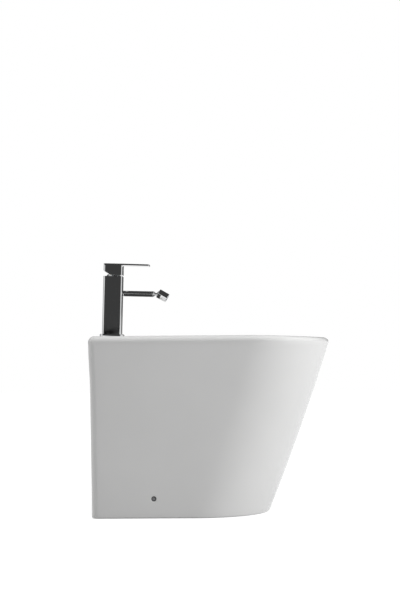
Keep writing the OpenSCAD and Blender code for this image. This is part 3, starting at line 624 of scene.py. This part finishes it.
def seen_rays(nodes, links, seen, mirrored):
    """A value: seen for camera and transmission rays, mirrored for glossy rays, and 0 for the rest."""
    path = nodes.new("ShaderNodeLightPath")
    total = None
    for ray, level in (("Is Camera Ray", seen), ("Is Transmission Ray", seen), ("Is Glossy Ray", mirrored)):
        scale = nodes.new("ShaderNodeMath")
        scale.operation = "MULTIPLY"
        scale.inputs[1].default_value = level
        links.new(path.outputs[ray], scale.inputs[0])
        if total is None:
            total = scale.outputs["Value"]
            continue
        most = nodes.new("ShaderNodeMath")
        most.operation = "MAXIMUM"
        links.new(total, most.inputs[0])
        links.new(scale.outputs["Value"], most.inputs[1])
        total = most.outputs["Value"]
    return total


def build_world():
    """Even light of AMBIENT strength, which camera and glass rays see as white and mirrors see a little darker."""
    world = bpy.data.worlds.new("studio_world")
    bpy.context.scene.world = world
    world.use_nodes = True
    nodes, links = world.node_tree.nodes, world.node_tree.links
    background = nodes["Background"]
    background.inputs["Color"].default_value = (1, 1, 1, 1)
    add = nodes.new("ShaderNodeMath")
    add.operation = "ADD"
    add.inputs[1].default_value = AMBIENT
    links.new(seen_rays(nodes, links, 1 - AMBIENT, MIRRORED - AMBIENT), add.inputs[0])
    links.new(add.outputs["Value"], background.inputs["Strength"])


def area_light(name, location, target, size, power):
    """A square lamp that mirrors don't show."""
    data = bpy.data.lights.new(name, "AREA")
    data.shape = "RECTANGLE"
    data.size = data.size_y = size
    data.energy = power
    lamp = bpy.data.objects.new(name, data)
    bpy.context.scene.collection.objects.link(lamp)
    lamp.location = location
    lamp.rotation_mode = "QUATERNION"
    lamp.rotation_quaternion = (Vector(target) - Vector(location)).to_track_quat("-Z", "Y")
    lamp.visible_glossy = False


def flag_material(name, level, soft, one_sided=False):
    """A dark flag that thins out over the soft share of its half width.

    Where it is one_sided, rays from behind its face pass through.
    """
    mat = bpy.data.materials.new(name)
    mat.use_nodes = True
    nodes, links = mat.node_tree.nodes, mat.node_tree.links
    nodes.clear()
    coords = nodes.new("ShaderNodeTexCoord")
    split = nodes.new("ShaderNodeSeparateXYZ")
    links.new(coords.outputs["Generated"], split.inputs["Vector"])
    centred = nodes.new("ShaderNodeMath")
    centred.operation = "SUBTRACT"
    centred.inputs[1].default_value = 0.5
    links.new(split.outputs["X"], centred.inputs[0])
    outward = nodes.new("ShaderNodeMath")
    outward.operation = "ABSOLUTE"
    links.new(centred.outputs["Value"], outward.inputs[0])
    fade = nodes.new("ShaderNodeMapRange")
    fade.interpolation_type = "SMOOTHSTEP"
    fade.inputs["From Min"].default_value = 0.5 * (1 - soft)
    fade.inputs["From Max"].default_value = 0.5
    links.new(outward.outputs["Value"], fade.inputs["Value"])
    clear = fade.outputs["Result"]
    if one_sided:
        either = nodes.new("ShaderNodeMath")
        either.operation = "MAXIMUM"
        links.new(clear, either.inputs[0])
        links.new(nodes.new("ShaderNodeNewGeometry").outputs["Backfacing"], either.inputs[1])
        clear = either.outputs["Value"]
    dark = nodes.new("ShaderNodeEmission")
    dark.inputs["Color"].default_value = (level, level, level, 1)
    mix = nodes.new("ShaderNodeMixShader")
    output = nodes.new("ShaderNodeOutputMaterial")
    links.new(clear, mix.inputs["Fac"])
    links.new(dark.outputs["Emission"], mix.inputs[1])
    links.new(nodes.new("ShaderNodeBsdfTransparent").outputs["BSDF"], mix.inputs[2])
    links.new(mix.outputs["Shader"], output.inputs["Surface"])
    return mat


def only_reflected(flag, mat):
    """Makes a flag part of the stage, seen only in reflections."""
    flag.data.materials.append(mat)
    flag.visible_camera = False
    flag.visible_diffuse = False
    flag.visible_shadow = False
    flag.visible_transmission = False


def dark_flag(name, width, low, high, mat):
    """A flag from the middle of its low edge to the middle of its high edge, and width wide across them."""
    low, high = Vector(low), Vector(high)
    rise = high - low
    across = rise.cross(Vector((0, 0, 1)))
    if across.length < 1e-6:
        across = Vector((0, 0, 1)).cross(low)
    across.normalize()
    axes = Matrix((across, rise.normalized(), across.cross(rise.normalized()))).transposed().to_4x4()
    half, tall = width / 2, rise.length
    flag = plane(name, [(-half, 0, 0), (half, 0, 0), (half, tall, 0), (-half, tall, 0)])
    flag.matrix_world = Matrix.Translation(low) @ axes
    only_reflected(flag, mat)


def round_from_front(azimuth, reach):
    """The x and y of a place at a reach from the origin, azimuth degrees round from the front towards +X."""
    a = math.radians(azimuth)
    return reach * math.sin(a), -reach * math.cos(a)


def build_studio():
    h = FLOOR_HALF
    floor = plane("studio_floor", [(-h, -h, 0), (h, -h, 0), (h, h, 0), (-h, h, 0)])
    floor.data.materials.append(backdrop_material())
    build_world()
    for name, azimuth, power in (("key", KEY_AZIMUTH, KEY_POWER), ("fill", FILL_AZIMUTH, FILL_POWER)):
        x, y = round_from_front(azimuth, LAMP_REACH)
        area_light(name, (x, y, LAMP_HEIGHT), LAMP_TARGET, LAMP_SIZE, power)
    area_light("top", TOP_PLACE, TOP_TARGET, TOP_SIZE, TOP_POWER)
    build_flags()


def build_flags():
    black = flag_material("studio_flag_black", BLACK, BLACK_SOFT)
    grey = flag_material("studio_flag_grey", GREY, GREY_SOFT)
    deep = flag_material("studio_flag_deep", DEEP, BLACK_SOFT)
    x, y = NEAR_FLAG_X, -FLAG_REACH
    dark_flag("flag_near", NEAR_FLAG_W, (x, y, FLAG_LOW), (x, y, FLAG_HIGH), black)
    y += LOW_FLAG_GAP
    dark_flag("flag_low", NEAR_FLAG_W, (x, y, FLAG_LOW), (x, y, LOW_FLAG_TOP), deep)
    x = OVER_FLAG_X
    dark_flag("flag_over", OVER_FLAG_W, (x, -FLAG_REACH, FLAG_HIGH), (x, FLAG_REACH, FLAG_HIGH), black)
    for azimuth in REAR_FLAGS:
        x, y = round_from_front(azimuth, FLAG_REACH)
        dark_flag(f"flag_{azimuth}", REAR_FLAG_W, (x, y, FLAG_LOW), (x, y, FLAG_HIGH), grey)
    # Painted reflection: a dark card that only mirrors show, over the deck under the spout
    card = plane("painted_reflection_card", [(x, y, DARK_REFLECTION_CARD_HEIGHT) for x, y in DARK_REFLECTION_CARD_OUTLINE])
    only_reflected(card, flag_material("painted_reflection_card_material", BLACK, DARK_REFLECTION_CARD_SOFT, one_sided=True))


# The photograph's camera: place, turns, and the focal length in pixels of a frame 600 pixels high
CAMERA_PLACE = (0.03076, -3.3, 0.345)
YAW, PITCH, ROLL = math.radians(-0.98), math.radians(2.422), math.radians(0.422)
FOCAL_PX, FRAME_PX = 1426.22, 600
SENSOR_MM = 36


def build_camera():
    right = Vector((math.cos(YAW), -math.sin(YAW), 0))
    forward = Vector((math.cos(PITCH) * math.sin(YAW), math.cos(PITCH) * math.cos(YAW), math.sin(PITCH)))
    up = right.cross(forward)
    turned_right = right * math.cos(ROLL) - up * math.sin(ROLL)
    turned_up = right * math.sin(ROLL) + up * math.cos(ROLL)
    data = bpy.data.cameras.new("camera")
    data.sensor_width = SENSOR_MM
    data.lens = FOCAL_PX / FRAME_PX * SENSOR_MM
    camera = bpy.data.objects.new("camera", data)
    bpy.context.scene.collection.objects.link(camera)
    axes = Matrix((turned_right, turned_up, -forward)).transposed().to_4x4()
    camera.matrix_world = Matrix.Translation(CAMERA_PLACE) @ axes
    bpy.context.scene.camera = camera


bpy.context.scene.view_settings.view_transform = "Standard"
build_camera()
build_studio()
materials = make_materials()
dress_nodes(materials)
build_ceramic().data.materials.append(materials["glazed_ceramic"])
